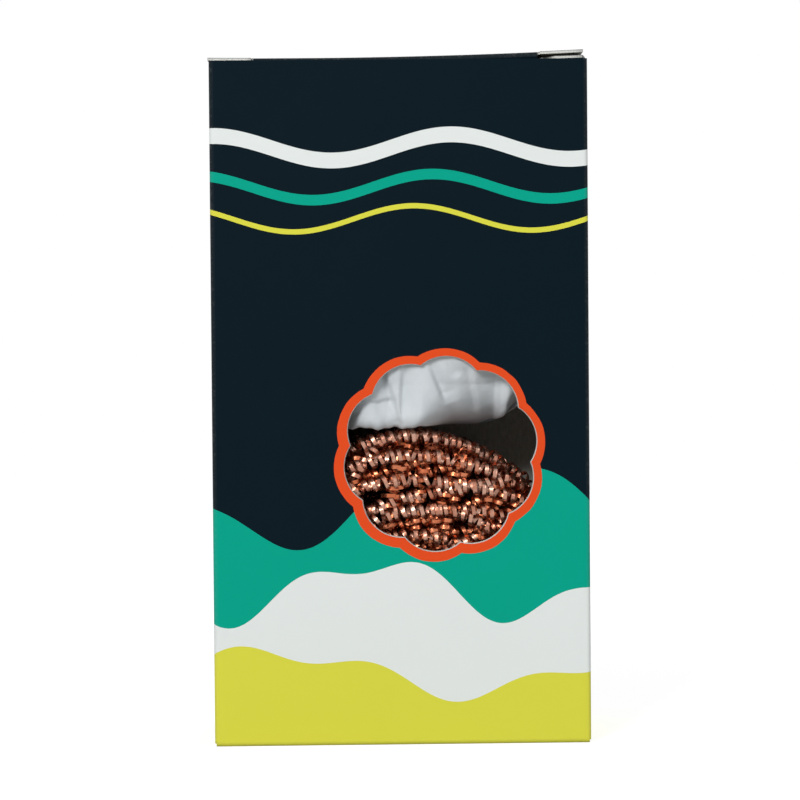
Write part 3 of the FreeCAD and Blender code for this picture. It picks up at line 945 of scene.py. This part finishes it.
# Folds of the crumpled sheet: direction, facet width, depth, shift
FOLDS = (
    (0.12, 5.6, 1.5, 0.35),
    (-0.42, 7.9, 1.5, 0.9),
    (1.15, 9.5, 0.9, 0.2),
    (0.3, 2.7, 0.35, 0.6),
    (-0.9, 3.4, 0.3, 0.1),
)
# Pleats behind the window: two ends in X and Z from the top down, reach to the left and right, depth
PLEATS = (
    ((-3.9, 72.5), (-0.2, 60.2), 3.2, 0.9, 1.5),
    ((0.8, 72.0), (0.1, 60.2), 0.9, 3.6, 1.2),
    ((5.2, 74.0), (8.5, 65.8), 0.9, 4.2, 1.5),
    ((8.0, 74.2), (11.0, 70.6), 1.6, 1.2, 0.9),
    ((18.8, 75.0), (18.4, 59.0), 10.0, 2.2, 3.2),
    ((21.3, 72.0), (20.4, 61.5), 1.3, 3.5, 1.0),
    ((-1.5, 65.4), (-9.5, 65.0), 0.8, 2.6, 0.7),
    ((12.6, 72.0), (14.6, 63.0), 2.6, 1.1, 0.7),
)


def smooth_step(share):
    share = np.clip(share, 0, 1)
    return share * share * (3 - 2 * share)


def ripple(where, height, length, phase=0.0):
    """A sine wave, whose angle grows by 1 radian in that length."""
    return height * np.sin(where / length + phase)


def creased(along, up):
    """Depth of the crumpled sheet: facets between sharp creases that wander."""
    u = along + ripple(up, 1.3, 4.1, 0.7) + ripple(up, 0.8, 2.6, along / 7.0)
    v = up + ripple(along, 1.1, 5.3, 1.9)
    depth = 0
    for angle, size, deep, shift in FOLDS:
        away = (u * math.cos(angle) + v * math.sin(angle)) / size + shift
        depth = depth + deep * np.abs(away % 2 - 1)
    return depth


def run_under(x, z):
    """How far the front runs in under the upper scourer, in a quarter round, but for one fold that stays."""
    left, right, ease = 3.0, 30.0, 8.0
    top, height, deepest = 70.0, 10.2, 17.0
    fold_x, fold_width, fold_share = 20.3, 1.8, 0.65
    stays = fold_share * np.exp(-(((x - fold_x) / fold_width) ** 2))
    share = smooth_step((x - left) / ease) * (1 - stays) * smooth_step((right - x) / ease)
    return deepest * share * (1 - np.sqrt(1 - np.clip((top - z) / height, 0, 1) ** 2))


def drawn_back(x, z):
    """How far the front draws back from the window at the left, most under its top."""
    start, reach, strength = -5.0, 5.0, 0.15
    top, ease, least = 67.0, 4.0, 0.1
    return strength * np.clip(start - x, 0, reach) ** 2 * np.clip((top - z) / ease, least, 1)


def pleated(x, z):
    """Depth of the sheet's front behind the window, with its pleats, which fade to their ends."""
    fade, at_end = 4, 0.6
    depth = run_under(x, z) + drawn_back(x, z)
    for (x0, z0), (x1, z1), left, right, deep in PLEATS:
        run = math.hypot(x1 - x0, z1 - z0)
        ahead = ((x1 - x0) / run, (z1 - z0) / run)
        share = ((x - x0) * ahead[0] + (z - z0) * ahead[1]) / run
        aside = (z - z0) * ahead[0] - (x - x0) * ahead[1]
        tent = np.clip(1 - np.abs(aside) / np.where(aside < 0, left, right), 0, 1)
        depth = depth + deep * tent * np.clip(np.minimum(share, 1 - share) * fade + at_end, 0, 1)
    return depth


def tissue_plan(half_x, half_y):
    """Points round the sheet's walls from the middle of the back, their inward directions and their runs."""
    corner_power = 0.35
    spin = np.linspace(0, 2 * math.pi, 4000) + math.pi / 2
    x = half_x * np.sign(np.cos(spin)) * np.abs(np.cos(spin)) ** corner_power
    y = half_y * np.sign(np.sin(spin)) * np.abs(np.sin(spin)) ** corner_power
    run = np.concatenate([[0], np.cumsum(np.hypot(np.diff(x), np.diff(y)))])
    along = np.linspace(0, run[-1], SPOKES, endpoint=False)
    plan = np.stack([np.interp(along, run, x), np.interp(along, run, y)], 1)
    ahead = unit_rows(np.roll(plan, -3, axis=0) - np.roll(plan, 3, axis=0))
    return plan, np.stack([-ahead[:, 1], ahead[:, 0]], 1), along, run[-1]


def tissue_floor(x):
    """Height of the sheet's floor: it dips a little and then rises at the right, round the upper scourer."""
    height, dip, dip_start, dip_run = 0.3, 0.4, 2.0, 10.0
    rise_start, steepness, power, most = 15.5, 0.13, 1.6, 7.0
    rise = np.minimum(steepness * np.clip(x - rise_start, 0, None) ** power, most)
    return height - dip * smooth_step((x - dip_start) / dip_run) + rise


def dent_share(level, foot, loss, least):
    """The share of a dent that is left at a level, with a loss per millimetre up the wall."""
    return np.clip(foot - loss * level, least, 1)


def make_tissue():
    """A sheet pressed up round the upper scourer: a floor between the two scourers, and crumpled walls."""
    low, high = (np.array(corner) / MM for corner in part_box("tissue_nest"))
    inset, past, lift, past_top = 0.2, 0.15, 0.35, 3.0
    plan, inward, along, total = tissue_plan(high[0] - inset, high[1] + past)
    x = plan[:, 0]
    tall = high[2] - low[2]
    # Radius of the bend from floor to wall, which grows to the right between two limits
    bend_middle, bend_growth, bend_limits = 2.4, 0.1, (1.8, 4.5)
    bend = np.clip(bend_middle + bend_growth * x, *bend_limits)
    # 1 along the front, and 0 at the corners and beyond
    front = np.clip(inward[:, 1] * 3 - 2, 0, 1)
    # The front's lower edge sags at the left
    sag_mean, sag_end = 0.55, 8.0
    sag = sag_mean + ripple(x, 0.22, 1 / 1.1) + ripple(x, 0.12, 1 / 2.7, 1.0)
    slope = tissue_floor(x) - front * sag * np.clip(1 - x / sag_end, 0, 1)
    # The folds blend over a seam where the walls close, and are weaker on the front
    seam, front_spared = 10, 0.7
    wrap = np.clip((along - (total - seam)) / seam, 0, 1)

    def dented(level):
        """How far the wall is pushed in at that level, less and less up it."""
        dent = (1 - wrap) * creased(along, level) + wrap * creased(along - total, level)
        dent = dent * (1 - front_spared * front) + front * pleated(x, low[2] + level)
        in_front = dent_share(level, foot=2.3, loss=0.16, least=0.12)
        elsewhere = dent_share(level, foot=1.6, loss=0.05, least=0.4)
        return dent * (front * in_front + (1 - front) * elsewhere)

    floor_edge = plan + inward * (bend + dented(0 * along))[:, None]
    # The floor's rings shrink to a spine along the carton, so that they don't fold over
    spine_share, spine_y = 0.6, 4.0
    spine = np.column_stack([spine_share * x, 0 * along + spine_y])
    first_ring = 0.02
    points = []
    for i in range(FLOOR_RINGS):
        share = first_ring + (1 - first_ring) * i / FLOOR_RINGS
        spot = spine + (floor_edge - spine) * share
        at_edge = share**6
        rise = lift + ripple(spot[:, 0], 0.12, 3.1) * ripple(spot[:, 1], 1.0, 2.7)
        rise += tissue_floor(spot[:, 0]) * (1 - at_edge) + slope * at_edge
        points.append(np.column_stack([spot, low[2] + rise]))
    for i in range(WALL_RINGS + 1):
        run = (tall + past_top) * i / WALL_RINGS
        angle = np.minimum(run / bend, math.pi / 2)
        level = bend * (1 - np.cos(angle)) + np.maximum(run - bend * math.pi / 2, 0)
        spot = plan + inward * (bend * (1 - np.sin(angle)) + dented(level))[:, None]
        ragged = (level / tall) ** 4 * ripple(along, 1.3, 5.3) * ripple(along, 1.0, 2.1)
        rise = lift + level + slope * (1 - level / tall) + ragged
        points.append(np.column_stack([spot, low[2] + rise]))
    faces = cells_between(len(points), SPOKES, SPOKES) + [list(reversed(range(SPOKES)))]
    piece = add_piece("tissue_sheet", np.concatenate(points), faces, [TISSUE])
    stand_in(piece, "carton", "tissue", "tissue_nest")


make_tissue()


# Stage, light and camera

WHITE_LIGHT = (1.0, 1.0, 1.0, 1.0)
# Lamps: place in metres, size and power. All point at one spot in the carton
LAMP_TARGET = (0, 0, 0.06)
LAMPS = {
    "key_lamp": ((-0.4, -1.0, 0.58), 0.35, 9.7),
    "side_lamp": ((0.95, -0.7, 0.5), 0.5, 2.1),
    "back_lamp": ((0.35, 1.1, 0.8), 0.6, 6.0),
}


def seen_directly(shader):
    """1 for what the camera sees straight, mirrored or through glass, and 0 for what only gives light."""
    path = shader.node("ShaderNodeLightPath").outputs
    seen = shader.math("MAXIMUM", path["Is Camera Ray"], path["Is Glossy Ray"])
    return shader.math("MAXIMUM", seen, path["Is Transmission Ray"])


def floor_material():
    """White to the camera with the object's shadow, gone further out, and seen through from below."""
    grey, glow = 0.55, 0.7
    fade_start, fade_end = 0.35, 0.9
    shader = Shader("studio_floor")
    shader.finish(Base_Color=(grey, grey, grey, 1.0), Roughness=0.9, Specular_IOR_Level=0.0)
    strength = shader.math("MULTIPLY", seen_directly(shader), glow)
    shader.finish(Emission_Color=WHITE_LIGHT, Emission_Strength=strength)
    spot = shader.node("ShaderNodeNewGeometry")
    reach = shader.node("ShaderNodeVectorMath", {0: spot.outputs["Position"]}, operation="LENGTH")
    far = shader.ramp(reach.outputs["Value"], fade_start, fade_end)
    hidden = shader.math("MAXIMUM", far, spot.outputs["Backfacing"])
    through = shader.node("ShaderNodeBsdfTransparent").outputs[0]
    both = shader.node("ShaderNodeMixShader", {0: hidden, 1: shader.surface.outputs[0], 2: through})
    shader.links.new(both.outputs[0], shader.nodes["Material Output"].inputs["Surface"])
    return shader.made


def make_stage():
    size, drop = 1200.0, 0.02
    corners = [(x * size, y * size, -drop) for x, y in ((-1, -1), (1, -1), (1, 1), (-1, 1))]
    floor = add_piece("studio_floor", corners, [(0, 1, 2, 3)], [floor_material()])


def make_world():
    """A white sky that gives less light than it shows."""
    ambient = 0.3
    sky = Shader("studio_world", "worlds", "Background")
    strength = sky.math("MAXIMUM", seen_directly(sky), ambient)
    bpy.context.scene.world = sky.finish(Color=WHITE_LIGHT, Strength=strength)


def add_lamp(name, place, size, power):
    lamp = bpy.data.lights.new(name, "AREA")
    lamp.shape = "DISK"
    lamp.size = size
    lamp.energy = power
    made = linked(name, lamp)
    made.location = place
    made.rotation_euler = (Vector(LAMP_TARGET) - Vector(place)).to_track_quat("-Z", "Y").to_euler()


def make_camera():
    """Set to the photograph: the carton's front corners fall on the same pixels of the 800 by 800 picture."""
    place = (-0.01947, -0.721, 0.08992)
    yaw, pitch, roll = (math.radians(angle) for angle in (-1.58, -1.96, -0.46))
    camera = linked("camera", bpy.data.cameras.new("camera"))
    camera.data.lens = 165.5
    camera.data.sensor_width = 36.0
    ahead = Vector((-math.sin(yaw) * math.cos(pitch), math.cos(yaw) * math.cos(pitch), math.sin(pitch)))
    side = Vector((math.cos(yaw), math.sin(yaw), 0))
    over = side.cross(ahead)
    right = side * math.cos(roll) + over * math.sin(roll)
    up = over * math.cos(roll) - side * math.sin(roll)
    turn = Matrix((right, up, -ahead)).transposed()
    camera.matrix_world = Matrix.Translation(place) @ turn.to_4x4()
    bpy.context.scene.camera = camera


make_stage()
make_world()
for lamp_name, lamp_values in LAMPS.items():
    add_lamp(lamp_name, *lamp_values)
make_camera()
bpy.context.scene.view_settings.view_transform = "Standard"
